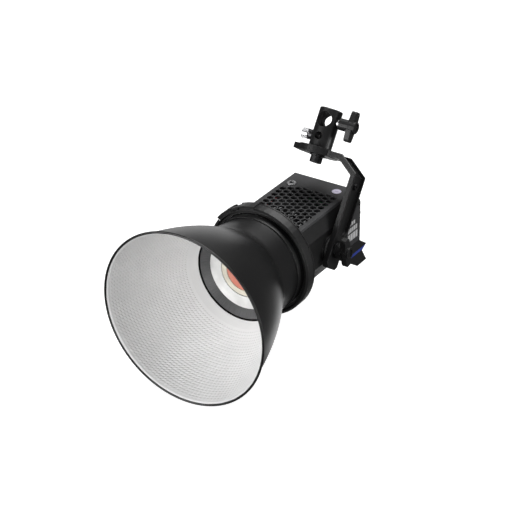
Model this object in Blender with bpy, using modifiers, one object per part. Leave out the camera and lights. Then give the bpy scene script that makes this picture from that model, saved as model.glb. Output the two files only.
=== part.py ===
"""Monolight: a compact COB studio light on a one-armed yoke, with a bowl reflector on a bayonet ring.

Sizes are in millimetres. Three frames are used, each held by an empty:
  world   origin at the mouth of the stand socket, +Z up, +Y towards the rear of the lamp head
  yoke    origin on the tilt axis, X along that axis, Z up the yoke's arm to the stand socket
  optics  origin on the optical axis at the mount ring's back face, the light shining along -Y
"""

import math

import bmesh
import bpy
from mathutils import Euler, Matrix, Vector

MM = 0.001
GAP = 0.3                 # kept between pieces that touch

# Yoke and stand socket
TILT_DEG = 35.0           # how far the yoke leans back from the head's vertical
SOCKET_MOUTH = 136.2      # height of the socket's mouth above the tilt axis
SOCKET_R = 12.2
SPIGOT_BORE_R = 8.2       # takes a 16 mm stand spigot
SPIGOT_DEPTH = 26.0
CLAMP_HEIGHT = 124.0      # the clamp screw and the spigot cross hole
UMBRELLA_HEIGHT = 106.0
UMBRELLA_R = 4.2
ARM_INNER_X = 48.6
STRAP = 6.0               # thickness of the yoke casting
ARM_WIDTH = 25.0
FLANGE = 2.3              # edge flanges of the channel
CHANNEL_DEPTH = 3.4
CHANNEL_FOOT = 24.0
PLATE_Z = 88.0            # underside of the top plate
SEAT = 0.4                # how far the round seat stands proud of the plate
ARM_FOOT = -20.5
ARM_SCREW_Z = 66.0
WING_LENGTH = 32.0
BOLT_R = 4.0              # M8 screws
BOLT_HOLE_R = 4.3

# Lamp head
PIVOT_BACK = 50.6         # tilt axis behind the mount ring's back face
SECTION = ((36.3, 35.4), (45.1, 21.0), (45.1, -13.5), (34.4, -33.5))    # right half, top to bottom
TOP_Z = 35.4
SIDE_X = 45.1
LOW_Z = -33.5
WALL = 2.0
SHELL_END = 84.0          # where the control housing takes over from the side shells
HEX_PITCH = 8.08
HEX_FLATS = 6.6
GRILLE_END = 91.0
COLUMN_STEP = HEX_PITCH * math.sqrt(3) / 2
INSERT = (-26.2, 92.4)    # threaded insert in the top cover
INSERT_R = 5.0
STICKER = (23.3, 100.6)

# Mount ring and reflector
RING_R = 58.9
RING_DEPTH = 13.85
RING_BORE = 52.9
POCKET_R = 56.0
COLLAR_R = 52.3
BARREL_R = 50.2
LUGS = (30.0, 150.0, 270.0)
LUG_R = 54.6
LUG_DEG = 22.0
TWIST_DEG = 26.0          # turn that frees the reflector
LATCH_DEG = 117.5         # release slider, as an angle from +X towards +Z
PIN_R = 51.6
DOT_DEG = 141.6
SCREW_DEGS = (95.0, 215.0, 335.0)
RIM_R = 92.5
RIM_Y = -146.2
THROAT_Y = -53.9
THROAT_R = 55.7
SHEET = 1.5

# Control housing
HOUSING_X = 43.4
REAR_FACE = 115.6
STRIPE_LOW = -36.2
STRIPE_TOP = -33.1
KNOBS = (("dimmer_knob", 14.5, 3.5), ("colour_knob", 31.0, 3.5))
BUTTON_X = (-27.0, -15.0, -3.0)

COLOURS = {               # base colour, roughness, metallic
    "black_plastic": ((0.018, 0.018, 0.019), 0.45, 0.0),
    "grey_plastic": ((0.11, 0.11, 0.112), 0.5, 0.0),
    "black_metal": ((0.015, 0.015, 0.016), 0.4, 0.6),
    "bowl_paint": ((0.03, 0.03, 0.031), 0.35, 0.3),
    "bare_metal": ((0.6, 0.6, 0.6), 0.3, 1.0),
    "white": ((0.78, 0.78, 0.77), 0.4, 0.0),
    "dark_grey": ((0.1, 0.1, 0.1), 0.5, 0.3),
    "cream": ((0.75, 0.72, 0.62), 0.5, 0.0),
    "phosphor": ((0.6, 0.2, 0.15), 0.6, 0.0),
    "board": ((0.02, 0.12, 0.05), 0.5, 0.0),
    "blue": ((0.03, 0.06, 0.35), 0.4, 0.0),
    "glass": ((0.9, 0.93, 0.95), 0.05, 0.0),
    "copper": ((0.6, 0.3, 0.2), 0.35, 1.0),
    "sticker": ((0.75, 0.72, 0.85), 0.5, 0.0),
}


# ---------------------------------------------------------------- scene and helpers

def clear_scene():
    for obj in list(bpy.data.objects):
        bpy.data.objects.remove(obj, do_unlink=True)


def new_collection(name):
    collection = bpy.data.collections.new(name)
    bpy.context.scene.collection.children.link(collection)
    return collection


def material(name):
    if name in bpy.data.materials:
        return bpy.data.materials[name]
    colour, roughness, metallic = COLOURS[name]
    made = bpy.data.materials.new(name)
    made.use_nodes = True
    shader = made.node_tree.nodes["Principled BSDF"]
    shader.inputs["Base Color"].default_value = (*colour, 1.0)
    shader.inputs["Roughness"].default_value = roughness
    shader.inputs["Metallic"].default_value = metallic
    return made


def empty(name, location=(0, 0, 0), rotation=(0, 0, 0), parent=None):
    obj = bpy.data.objects.new(name, None)
    obj.location = Vector(location) * MM
    obj.rotation_euler = rotation
    obj.parent = parent
    PARTS.objects.link(obj)
    return obj


def smooth(mesh, angle_deg=35.0):
    mesh.shade_smooth()
    mesh.set_sharp_from_angle(angle=math.radians(angle_deg))


def add(name, bm, look, parent, origin=(0, 0, 0)):
    """Makes an object from a bmesh in millimetres. origin is the point of the parent's frame it turns on."""
    bm.transform(Matrix.Scale(MM, 4) @ Matrix.Translation(-Vector(origin)))
    mesh = bpy.data.meshes.new(name)
    bm.to_mesh(mesh)
    bm.free()
    smooth(mesh)
    obj = bpy.data.objects.new(name, mesh)
    obj.location = Vector(origin) * MM
    obj.parent = parent
    if look:
        mesh.materials.append(material(look))
        PARTS.objects.link(obj)
    else:
        hide(obj)
    return obj


def hide(obj):
    """Keeps a cutter or a fused piece out of the parts."""
    CUTTERS.objects.link(obj)
    obj.hide_render = True
    obj.display_type = "WIRE"


def boolean(obj, operation, *others):
    for other in others:
        modifier = obj.modifiers.new(operation.lower(), "BOOLEAN")
        modifier.operation = operation
        modifier.object = other


def cut(obj, *cutters):
    boolean(obj, "DIFFERENCE", *cutters)


def fuse(obj, *pieces):
    boolean(obj, "UNION", *pieces)


def bevel_edges(obj, width):
    modifier = obj.modifiers.new("edges", "BEVEL")
    modifier.width = width * MM
    modifier.segments = 1
    modifier.limit_method = "ANGLE"


def box_into(bm, low, high):
    size = [b - a for a, b in zip(low, high)]
    centre = [(a + b) / 2 for a, b in zip(low, high)]
    bmesh.ops.create_cube(bm, size=1.0, matrix=Matrix.Translation(centre) @ Matrix.Diagonal((*size, 1.0)))


def rod_into(bm, radius, start, end, segments=24, end_radius=None):
    """Adds a cylinder, or a cone when end_radius is given, between two points."""
    start, end = Vector(start), Vector(end)
    way = end - start
    matrix = Matrix.Translation((start + end) / 2) @ way.to_track_quat("Z", "Y").to_matrix().to_4x4()
    top = radius if end_radius is None else end_radius
    bmesh.ops.create_cone(bm, cap_ends=True, segments=segments, radius1=radius, radius2=top,
                          depth=way.length, matrix=matrix)


def box(name, look, parent, low, high, origin=(0, 0, 0)):
    bm = bmesh.new()
    box_into(bm, low, high)
    return add(name, bm, look, parent, origin)


def rod(name, look, parent, radius, start, end, segments=24, origin=(0, 0, 0), end_radius=None):
    bm = bmesh.new()
    rod_into(bm, radius, start, end, segments, end_radius)
    return add(name, bm, look, parent, origin)


def flat(name, look, parent, outline, low, high, normal="Y", origin=(0, 0, 0)):
    """Extrudes a closed outline from low to high along normal. The outline's axes are XZ, YZ or XY."""
    curve = bpy.data.curves.new(name, "CURVE")
    curve.dimensions = "2D"
    curve.fill_mode = "BOTH"
    curve.extrude = (high - low) / 2 * MM
    spline = curve.splines.new("POLY")
    spline.points.add(len(outline) - 1)
    for point, (a, b) in zip(spline.points, outline):
        point.co = (a * MM, b * MM, 0.0, 1.0)
    spline.use_cyclic_u = True
    source = bpy.data.objects.new(name + "_outline", curve)
    CUTTERS.objects.link(source)
    mesh = bpy.data.meshes.new_from_object(source.evaluated_get(bpy.context.evaluated_depsgraph_get()))
    bpy.data.objects.remove(source, do_unlink=True)
    turn = {
        "Y": Matrix.Rotation(math.pi / 2, 4, "X"),
        "X": Matrix(((0, 0, 1, 0), (1, 0, 0, 0), (0, 1, 0, 0), (0, 0, 0, 1))),
        "Z": Matrix.Identity(4),
    }[normal]
    axis = {"X": Vector((1, 0, 0)), "Y": Vector((0, 1, 0)), "Z": Vector((0, 0, 1))}[normal]
    bm = bmesh.new()
    bm.from_mesh(mesh)
    bpy.data.meshes.remove(mesh)
    bmesh.ops.remove_doubles(bm, verts=bm.verts, dist=1e-6)
    bmesh.ops.transform(bm, verts=bm.verts, matrix=Matrix.Translation(axis * (low + high) / 2 * MM) @ turn)
    bmesh.ops.recalc_face_normals(bm, faces=bm.faces)
    bm.transform(Matrix.Scale(1 / MM, 4))
    return add(name, bm, look, parent, origin)


def turned(name, look, parent, profile, segments=48, closed=True, axis="Y", centre=(0, 0, 0),
           origin=(0, 0, 0)):
    """Turns a profile of (along, radius) points. A closed profile makes a ring, an open one ends on the axis."""
    bm = bmesh.new()
    verts = [bm.verts.new((radius * MM, 0.0, along * MM)) for along, radius in profile]
    pairs = list(zip(verts, verts[1:]))
    if closed:
        pairs.append((verts[-1], verts[0]))
    for a, b in pairs:
        bm.edges.new((a, b))
    mesh = bpy.data.meshes.new(name + "_profile")
    bm.to_mesh(mesh)
    bm.free()
    source = bpy.data.objects.new(name + "_profile", mesh)
    CUTTERS.objects.link(source)
    screw = source.modifiers.new("turn", "SCREW")
    screw.steps = segments
    screw.render_steps = segments
    screw.use_merge_vertices = True
    screw.merge_threshold = 0.00001
    made = bpy.data.meshes.new_from_object(source.evaluated_get(bpy.context.evaluated_depsgraph_get()))
    bpy.data.objects.remove(source, do_unlink=True)
    bm = bmesh.new()
    bm.from_mesh(made)
    bpy.data.meshes.remove(made)
    turn = {
        "Y": Matrix.Rotation(-math.pi / 2, 4, "X"),
        "X": Matrix.Rotation(math.pi / 2, 4, "Y"),
        "Z": Matrix.Identity(4),
    }[axis]
    bmesh.ops.recalc_face_normals(bm, faces=bm.faces)
    bm.transform(Matrix.Translation(centre) @ turn @ Matrix.Scale(1 / MM, 4))
    return add(name, bm, look, parent, origin)


def polar(radius, degrees, along):
    """A point round the optical axis, at an angle from +X towards +Z."""
    turn = math.radians(degrees)
    return (radius * math.cos(turn), along, radius * math.sin(turn))


def arc(centre, radius, start_deg, end_deg, steps):
    """Points on an arc in a flat outline."""
    angles = [math.radians(start_deg + (end_deg - start_deg) * i / steps) for i in range(steps + 1)]
    return [(centre[0] + radius * math.cos(a), centre[1] + radius * math.sin(a)) for a in angles]


def sector(inner, outer, centre_deg, width_deg, steps=4):
    """A piece of a flat ring, as an outline in X and Z."""
    low, high = centre_deg - width_deg / 2, centre_deg + width_deg / 2
    return arc((0, 0), outer, low, high, steps) + arc((0, 0), inner, high, low, steps)


def bezier(a, b, c, d, steps):
    points = []
    for i in range(steps + 1):
        t = i / steps
        weights = ((1 - t) ** 3, 3 * t * (1 - t) ** 2, 3 * t * t * (1 - t), t ** 3)
        points.append(tuple(sum(w * p[k] for w, p in zip(weights, (a, b, c, d))) for k in (0, 1)))
    return points


def offset_path(path, distance):
    """Moves an open path of points to its left by a distance, mitring the corners."""
    moved = []
    for i, point in enumerate(path):
        here = Vector(point)
        before = (here - Vector(path[i - 1])).normalized() if i else None
        after = (Vector(path[i + 1]) - here).normalized() if i < len(path) - 1 else None
        before, after = before or after, after or before
        normal = (Vector((-before.y, before.x)) + Vector((-after.y, after.x))).normalized()
        reach = distance / normal.dot(Vector((-after.y, after.x)))
        moved.append(tuple(here + normal * reach))
    return moved


# ---------------------------------------------------------------- yoke and stand socket

def make_yoke_arm(yoke):
    """One casting: the arm beside the head, the diagonal, and the plate and tongue above it."""
    inner = [(ARM_INNER_X, ARM_FOOT), (ARM_INNER_X, 75.4), (31.0, PLATE_Z), (-25.5, PLATE_Z)]
    half = ARM_WIDTH / 2
    arm = flat("yoke_arm", "black_metal", yoke, inner + offset_path(inner, -STRAP)[::-1], -half, half)
    bevel_edges(arm, 0.6)
    seat = rod("plate_seat", None, yoke, 21.0, (0, 0, PLATE_Z - SEAT), (0, 0, PLATE_Z + STRAP + SEAT), 40)
    fuse(arm, seat)
    run = [(ARM_INNER_X, CHANNEL_FOOT), (ARM_INNER_X, 75.4), (31.0, PLATE_Z), (24.0, PLATE_Z)]
    floor = offset_path(run, CHANNEL_DEPTH - STRAP)
    lid = offset_path(run, -STRAP - 3.0)
    channel = flat("channel", None, yoke, floor + lid[::-1], -half + FLANGE, half - FLANGE)
    floor_x = ARM_INNER_X + STRAP - CHANNEL_DEPTH
    end = rod("channel_end", None, yoke, half - FLANGE, (floor_x, 0, CHANNEL_FOOT),
              (floor_x + 8, 0, CHANNEL_FOOT), 32)
    cut(arm, channel, end)
    for side in (-1, 1):
        taper = [(-14.0, side * 13.5), (-40.0, side * 13.5), (-40.0, side * 5.0), (-26.0, side * 8.0)]
        cut(arm, flat("tongue_side", None, yoke, taper, PLATE_Z - 2, PLATE_Z + STRAP + 2, "Z"))
        foot = [(side * 13.5, ARM_FOOT - 1), (side * 7.0, ARM_FOOT - 1), (side * 13.5, ARM_FOOT + 5.5)]
        cut(arm, flat("foot_corner", None, yoke, foot, ARM_INNER_X - 3, ARM_INNER_X + STRAP + 3, "X"))
    near, far = ARM_INNER_X - 3, ARM_INNER_X + STRAP + 3
    cut(arm, rod("arm_pivot_hole", None, yoke, BOLT_HOLE_R, (near, 0, 0), (far, 0, 0), 20),
        rod("arm_screw_hole", None, yoke, 1.8, (near, 0, ARM_SCREW_Z), (far, 0, ARM_SCREW_Z), 12),
        rod("plate_bolt_hole", None, yoke, BOLT_HOLE_R, (0, 0, PLATE_Z - 3), (0, 0, PLATE_Z + STRAP + 3),
            20))


def make_arm_screw(yoke):
    """Cap screw in the channel near the bend."""
    floor_x = ARM_INNER_X + STRAP - CHANNEL_DEPTH
    screw = rod("arm_screw", "black_metal", yoke, 1.5, (ARM_INNER_X + 0.5, 0, ARM_SCREW_Z),
                (floor_x + 1.0, 0, ARM_SCREW_Z), 12)
    head = rod("arm_screw_head", None, yoke, 3.6, (floor_x + GAP, 0, ARM_SCREW_Z),
               (floor_x + 2.8, 0, ARM_SCREW_Z), 20)
    socket = rod("arm_screw_socket", None, yoke, 1.6, (floor_x + 1.4, 0, ARM_SCREW_Z),
                 (floor_x + 5, 0, ARM_SCREW_Z), 6)
    fuse(screw, head)
    cut(screw, socket)


def make_socket(yoke):
    """Stand socket: spigot bore, spigot cross hole, umbrella hole and the threads for its three screws."""
    base = PLATE_Z + STRAP + SEAT + GAP
    tube = rod("stand_socket", "black_metal", yoke, SOCKET_R, (0, 0, base), (0, 0, SOCKET_MOUTH), 40)
    bevel_edges(tube, 0.8)
    cut(tube, rod("spigot_bore", None, yoke, SPIGOT_BORE_R, (0, 0, SOCKET_MOUTH - SPIGOT_DEPTH),
                  (0, 0, SOCKET_MOUTH + 5), 28),
        rod("spigot_cross_hole", None, yoke, SPIGOT_BORE_R, (0, -20, CLAMP_HEIGHT), (0, 20, CLAMP_HEIGHT),
            24),
        rod("umbrella_hole", None, yoke, UMBRELLA_R, (0, -20, UMBRELLA_HEIGHT), (0, 20, UMBRELLA_HEIGHT),
            20),
        rod("socket_thread", None, yoke, BOLT_HOLE_R, (0, 0, base - 2), (0, 0, UMBRELLA_HEIGHT - 5.2), 20),
        rod("clamp_thread", None, yoke, BOLT_HOLE_R, (0, 0, CLAMP_HEIGHT), (20, 0, CLAMP_HEIGHT), 20),
        rod("thumb_thread", None, yoke, 2.8, (0, 0, UMBRELLA_HEIGHT), (-20, 0, UMBRELLA_HEIGHT), 16))


def make_socket_bolt(yoke):
    """Cap screw and washer that hold the socket to the plate, from below."""
    top, low = PLATE_Z - SEAT - GAP, PLATE_Z - 9.0
    turned("socket_washer", "black_metal", yoke, [(top, 4.3), (top, 8.2), (top - 1.3, 8.2),
                                                  (top - 1.3, 4.3)], 28,
           axis="Z")
    tip, seat = UMBRELLA_HEIGHT - 5.8, top - 1.6
    profile = [(tip, 0.0), (tip, BOLT_R), (seat, BOLT_R), (seat, 6.4), (low + 0.5, 6.4), (low, 5.9),
               (low, 3.2),
               (low + 4.0, 3.2), (low + 4.0, 0.0)]
    turned("socket_bolt", "black_metal", yoke, profile, 24, closed=False, axis="Z")


def wing(name, parent, start_x, hub_r, hub_length, height, bore_depth):
    """Wing grip that turns on X: a hub, a bar along Z and an outer boss with a shallow recess."""
    bar_x = start_x + hub_length
    half, thick = WING_LENGTH / 2, 6.0
    side = [(5.6, -4.0), (5.6, 4.0), (4.2, half - 2.0), (2.8, half), (-2.8, half), (-4.2, half - 2.0),
            (-5.6, 4.0), (-5.6, -4.0), (-4.2, -half + 2.0), (-2.8, -half), (2.8, -half), (4.2, -half + 2.0)]
    bar = flat(name, "black_plastic", parent, [(y, z + height) for y, z in side], bar_x, bar_x + thick, "X",
               origin=(start_x, 0, height))
    hub = rod(name + "_hub", None, parent, hub_r, (start_x, 0, height), (bar_x + 1.5, 0, height), 24)
    boss = rod(name + "_boss", None, parent, 7.0, (bar_x + 2.0, 0, height),
               (bar_x + thick + 2.4, 0, height), 24,
               end_radius=6.2)
    dish = rod(name + "_dish", None, parent, 4.4, (bar_x + thick + 1.0, 0, height),
               (bar_x + thick + 6, 0, height), 20)
    bore = rod(name + "_bore", None, parent, BOLT_HOLE_R, (start_x - 2, 0, height),
               (start_x + bore_depth, 0, height),
               20)
    fuse(bar, hub, boss)
    cut(bar, dish, bore)


def make_spigot_clamp(yoke):
    """Clamp for the stand spigot: the pad slides in the socket's wall, the screw and wing turn behind it."""
    z = CLAMP_HEIGHT
    rod("spigot_pad", "bare_metal", yoke, 3.4, (8.5, 0, z), (9.9, 0, z), 20, origin=(8.5, 0, z))
    rod("spigot_screw", "bare_metal", yoke, BOLT_R, (10.2, 0, z), (23.0, 0, z), 20, origin=(10.2, 0, z))
    wing("spigot_wing", yoke, 14.6, 6.3, 10.0, z, 8.8)


def make_umbrella_clamp(yoke):
    """Knurled thumb screw for an umbrella shaft, its nylon tip and the collar it runs in."""
    z = UMBRELLA_HEIGHT
    collar = turned("umbrella_collar", "black_metal", yoke,
                    [(-14.6, 3.0), (-14.6, 5.4), (-10.8, 5.4), (-10.8, 3.0)],
                    28, axis="X", centre=(0, 0, z))
    cut(collar, rod("collar_seat", None, yoke, SOCKET_R + GAP, (0, 0, z - 10), (0, 0, z + 10), 48))
    rod("umbrella_tip", "white", yoke, 2.2, (-6.0, 0, z), (-4.6, 0, z), 16, origin=(-4.6, 0, z))
    screw = rod("umbrella_screw", "bare_metal", yoke, 2.5, (-18.0, 0, z), (-6.3, 0, z), 16,
                origin=(-6.3, 0, z))
    bm = bmesh.new()
    rod_into(bm, 5.6, (-23.2, 0, z), (-16.6, 0, z), 36)
    grooves = [face for face in bm.faces if abs(face.normal.x) < 0.5][::2]
    bmesh.ops.inset_individual(bm, faces=grooves, thickness=0.12, depth=-0.35)
    fuse(screw, add("umbrella_screw_head", bm, None, yoke))


def make_tilt_clamp(optics):
    """Tilt bolt through the side shell and the arm, with its washers and the locking wing."""
    y = PIVOT_BACK
    inner, outer = ARM_INNER_X - GAP, ARM_INNER_X + STRAP + GAP
    turned("friction_washer", "dark_grey", optics,
           [(inner, BOLT_HOLE_R), (inner, 13.0), (inner - 1.5, 13.0), (inner - 1.5, BOLT_HOLE_R)], 32,
           axis="X",
           centre=(0, y, 0))
    bolt = rod("tilt_bolt", "bare_metal", optics, BOLT_R, (39.0, y, 0), (62.0, y, 0), 20)
    fuse(bolt, rod("tilt_bolt_head", None, optics, 7.5, (36.5, y, 0), (41.8, y, 0), 6))
    turned("tilt_thrust_washer", "black_metal", optics,
           [(outer + 1.5, BOLT_HOLE_R), (outer + 1.5, 9.0), (outer, 9.0), (outer, BOLT_HOLE_R)], 28,
           axis="X",
           centre=(0, y, 0), origin=(outer, y, 0))
    lever_axis = empty("tilt_lever_axis", (0, y, 0), (math.radians(8.0), 0, 0), parent=optics)
    wing("tilt_lever", lever_axis, outer + 1.8, 8.6, 4.6, 0.0, 6.8)


# ---------------------------------------------------------------- lamp body

def clipped(path, top, bottom):
    """A top-to-bottom path with its two ends moved along their own segments to these heights."""
    def reach(a, b, z):
        share = (z - a[1]) / (b[1] - a[1])
        return a[0] + (b[0] - a[0]) * share, z
    return [reach(path[0], path[1], top), *path[1:-1], reach(path[-1], path[-2], bottom)]


def mirrored(path):
    """A closed outline from the path and its mirror image across X = 0."""
    return list(path) + [(-x, z) for x, z in path[::-1]]


def make_side_shell(name, side, optics):
    top, bottom = TOP_Z - WALL - GAP, LOW_Z + WALL + GAP
    ring = clipped(SECTION, top, bottom) + clipped(offset_path(SECTION, -WALL), top, bottom)[::-1]
    shell = flat(name, "black_plastic", optics, [(side * x, z) for x, z in ring], GAP, SHELL_END - GAP)
    if side > 0:
        fuse(shell, rod("pivot_boss", None, optics, 14.0, (SIDE_X - 1.5, PIVOT_BACK, 0),
                        (SIDE_X + 1.4, PIVOT_BACK, 0), 36))
        cut(shell, rod("pivot_hole", None, optics, BOLT_HOLE_R, (SIDE_X - 6, PIVOT_BACK, 0),
                       (SIDE_X + 6, PIVOT_BACK, 0), 20))


def hexagon_into(bm, x, y, low, high):
    """Adds one hexagonal prism with points along X, cut off square at the end of the grille."""
    radius = HEX_FLATS / math.sqrt(3)
    bmesh.ops.create_cone(bm, cap_ends=True, segments=6, radius1=radius, radius2=radius, depth=high - low,
                          matrix=Matrix.Translation((x, y, (low + high) / 2)) @ Matrix.Rotation(math.pi / 2,
                                                                                                4, "Z"))


def hexagon_centres():
    """Centres of the honeycomb, in columns along the body, leaving the threaded insert's corner solid."""
    centres = []
    for column in range(-4, 5):
        x = column * COLUMN_STEP
        start = 86.5 + (column % 2) * HEX_PITCH / 2
        for row in range(11):
            y = start - row * HEX_PITCH
            clear = math.hypot(x - INSERT[0], y - INSERT[1]) > INSERT_R + HEX_FLATS / 2
            if y - HEX_FLATS / 2 > 5.0 and clear:
                centres.append((x, y))
    return centres


def make_top_cover(optics):
    end = clipped(SECTION, TOP_Z, LOW_Z)[0]
    low = clipped(SECTION, TOP_Z - WALL, LOW_Z)[0]
    cover = flat("top_cover", "grey_plastic", optics, mirrored([end, low]), GAP, REAR_FACE)
    bm = bmesh.new()
    for x, y in hexagon_centres():
        hexagon_into(bm, x, y, TOP_Z - WALL - 1, TOP_Z + 1)
    holes = add("honeycomb", bm, None, optics)
    cut(holes, box("grille_end", None, optics, (-60, GRILLE_END, TOP_Z - WALL - 3), (60, 100, TOP_Z + 3)))
    cut(cover, holes, rod("insert_hole", None, optics, 3.8, (*INSERT, TOP_Z - 5), (*INSERT, TOP_Z + 5), 20))
    insert = [(TOP_Z + 1.2, 2.3), (TOP_Z + 1.2, INSERT_R - 0.4), (TOP_Z + 0.8, INSERT_R),
              (TOP_Z + GAP, INSERT_R),
              (TOP_Z + GAP, 3.5), (TOP_Z - 8.0, 3.5), (TOP_Z - 8.0, 2.3)]
    turned("threaded_insert", "bare_metal", optics, insert, 28, axis="Z", centre=(*INSERT, 0))
    rod("inspection_sticker", "sticker", optics, 4.9, (*STICKER, TOP_Z + GAP), (*STICKER, TOP_Z + 0.55), 28)


def make_bottom_cover(optics):
    low = clipped(SECTION, TOP_Z, LOW_Z)[-1]
    high = clipped(SECTION, TOP_Z, LOW_Z + WALL)[-1]
    cover = flat("bottom_cover", "black_plastic", optics, mirrored([high, low]), GAP, SHELL_END - GAP)
    bm = bmesh.new()
    for i in range(9):
        y = 12.0 + i * 7.5
        box_into(bm, (-26.0, y, LOW_Z - 1), (-2.5, y + 3.2, LOW_Z + WALL + 1))
        box_into(bm, (2.5, y, LOW_Z - 1), (26.0, y + 3.2, LOW_Z + WALL + 1))
    cut(cover, add("bottom_slots", bm, None, optics))


def make_control_housing(optics):
    """Rear housing with a hump below it. A blue band runs round the hump in a groove."""
    start, top = SHELL_END + GAP, TOP_Z - WALL - GAP
    hump = [(REAR_FACE, -22.4), (129.6, -32.2), (121.2, -37.2), (130.4, -51.8), (112.0, -52.0),
            (99.8, -37.9),
            (96.0, LOW_Z)]
    side = [(start, LOW_Z), (start, top), (REAR_FACE, top), *hump]
    housing = flat("control_housing", "black_plastic", optics, side, -HOUSING_X, HOUSING_X, "X")
    slope = clipped(SECTION[:3], TOP_Z + 12, LOW_Z)
    for sign in (-1, 1):
        wedge = [*slope[:2], (60.0, SECTION[1][1]), (60.0, TOP_Z + 12)]
        cut(housing, flat("top_bevel", None, optics, [(sign * x, z) for x, z in wedge], 60, 140))
    inside = clipped(offset_path(SECTION, -WALL), top - WALL, LOW_Z + WALL)
    inside = [(min(x, HOUSING_X - WALL - 0.3), z) for x, z in inside]
    well = [(100.5, -30.0), (112.0, -30.0), (117.0, -37.0), (126.3, -49.2), (113.4, -49.2), (103.6, -38.0)]
    groove = box("stripe_groove", None, optics, (-60, 96.2, STRIPE_LOW - GAP), (60, 140, STRIPE_TOP + GAP))
    cut(groove, box("groove_core", None, optics, (-40.1, 60, STRIPE_LOW - 2),
                    (40.1, 119.8, STRIPE_TOP + 2)))
    cut(housing, flat("control_cavity", None, optics, mirrored(inside), 70, REAR_FACE - 3.0),
        flat("hump_cavity", None, optics, well, -36.0, 36.0, "X"), groove,
        box("rear_opening", None, optics, (-37.0, REAR_FACE - 6, -18.0), (37.0, REAR_FACE + 5, 17.5)),
        box("rear_rebate", None, optics, (-40.0, REAR_FACE - 1.4, -20.3), (40.0, REAR_FACE + 5, 20.3)),
        box("side_plate_seat", None, optics, (HOUSING_X - 0.9, 88.0, -21.1),
            (HOUSING_X + 3, REAR_FACE - 0.9, 21.0)),
        rod("insert_well", None, optics, 3.8, (*INSERT, TOP_Z - 9), (*INSERT, TOP_Z), 20),
        box("inlet_seat", None, optics, (-HOUSING_X - 3, 89.5, -14.5), (-HOUSING_X + 5, 106.5, 14.5)))
    band = [(96.5, STRIPE_LOW), (96.5, STRIPE_TOP), (128.3, STRIPE_TOP), (122.4, STRIPE_LOW)]
    stripe = flat("accent_stripe", "blue", optics, band, -HOUSING_X, HOUSING_X, "X")
    cut(stripe, box("stripe_inside", None, optics, (-40.4, 60, STRIPE_LOW - 2),
                    (40.4, 120.1, STRIPE_TOP + 2)))


def make_rear_controls(optics):
    """Side plate, rear panel, display, knobs, buttons, power switch and inlet."""
    back = REAR_FACE - 1.2
    corner = [(88.3, -20.8), (88.3, 20.7), (back - 2.6, 20.7), (back, 18.1), (back, -20.8)]
    flat("side_plate", "grey_plastic", optics, corner, HOUSING_X - 0.6, HOUSING_X, "X")
    front = REAR_FACE - 1.1
    panel = box("rear_panel", "black_plastic", optics, (-39.7, front, -20.0), (39.7, REAR_FACE + 0.4, 20.0))
    cut(panel, box("display_hole", None, optics, (-33.0, 110, -5.5), (3.0, 125, 14.5)))
    box("display_window", "glass", optics, (-32.7, front + 0.2, -5.2), (2.7, REAR_FACE + 0.1, 14.2))
    box("display_module", "dark_grey", optics, (-34.0, REAR_FACE - 6.6, -7.0), (4.0, front - GAP, 15.8))
    for name, x, z in KNOBS:
        cut(panel, rod(name + "_hole", None, optics, 3.4, (x, 110, z), (x, 125, z), 16))
        make_knob(name, x, z, optics)
    for i, x in enumerate(BUTTON_X):
        cut(panel, box("button_hole", None, optics, (x - 4.3, 110, -17.3), (x + 4.3, 125, -10.7)))
        box(f"mode_button_{i + 1}", "grey_plastic", optics, (x - 4.0, REAR_FACE - 3.0, -17.0),
            (x + 4.0, REAR_FACE + 1.2, -11.0), origin=(x, REAR_FACE + 1.2, -14.0))
    inlet = box("power_inlet", "black_plastic", optics, (-HOUSING_X - 0.4, 89.8, -14.2),
                (-HOUSING_X + 4.6, 106.2, 14.2))
    pin = rod("inlet_pin", None, optics, 1.1, (-HOUSING_X + 0.4, 98, -7.2), (-HOUSING_X + 4.0, 98, -7.2),
              12)
    cut(inlet, rod("jack_hole", None, optics, 4.2, (-HOUSING_X - 3, 98, -7.2), (-HOUSING_X + 3.2, 98, -7.2),
                   24),
        box("rocker_well", None, optics, (-HOUSING_X - 3, 92.6, 0.4), (-HOUSING_X + 3.6, 103.4, 12.0)))
    fuse(inlet, pin)
    rocker = [(2.2, 1.6), (2.2, 10.8), (-1.3, 11.0), (-0.2, 6.2), (0.4, 1.4)]
    flat("power_rocker", "black_plastic", optics, [(x - HOUSING_X, z) for x, z in rocker], 93.1, 102.9,
         origin=(-HOUSING_X + 1.2, 98, 6.2))


def make_knob(name, x, z, optics):
    start = REAR_FACE + 0.9
    profile = [(start + 11.0, 0.0), (start + 11.0, 5.6), (start + 10.3, 6.4), (start + 1.8, 6.7),
               (start + 0.8, 7.4),
               (start, 7.4), (start, 3.0), (start - 5.0, 3.0), (start - 5.0, 0.0)]
    knob = turned(name, "black_plastic", optics, profile, 24, closed=False, centre=(x, 0, z),
                  origin=(x, start, z))
    cut(knob, box(name + "_mark", None, optics, (x - 0.5, start + 10.4, z + 1.6),
                  (x + 0.5, start + 13, z + 8.0)))


# ---------------------------------------------------------------- mount ring and its parts

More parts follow.
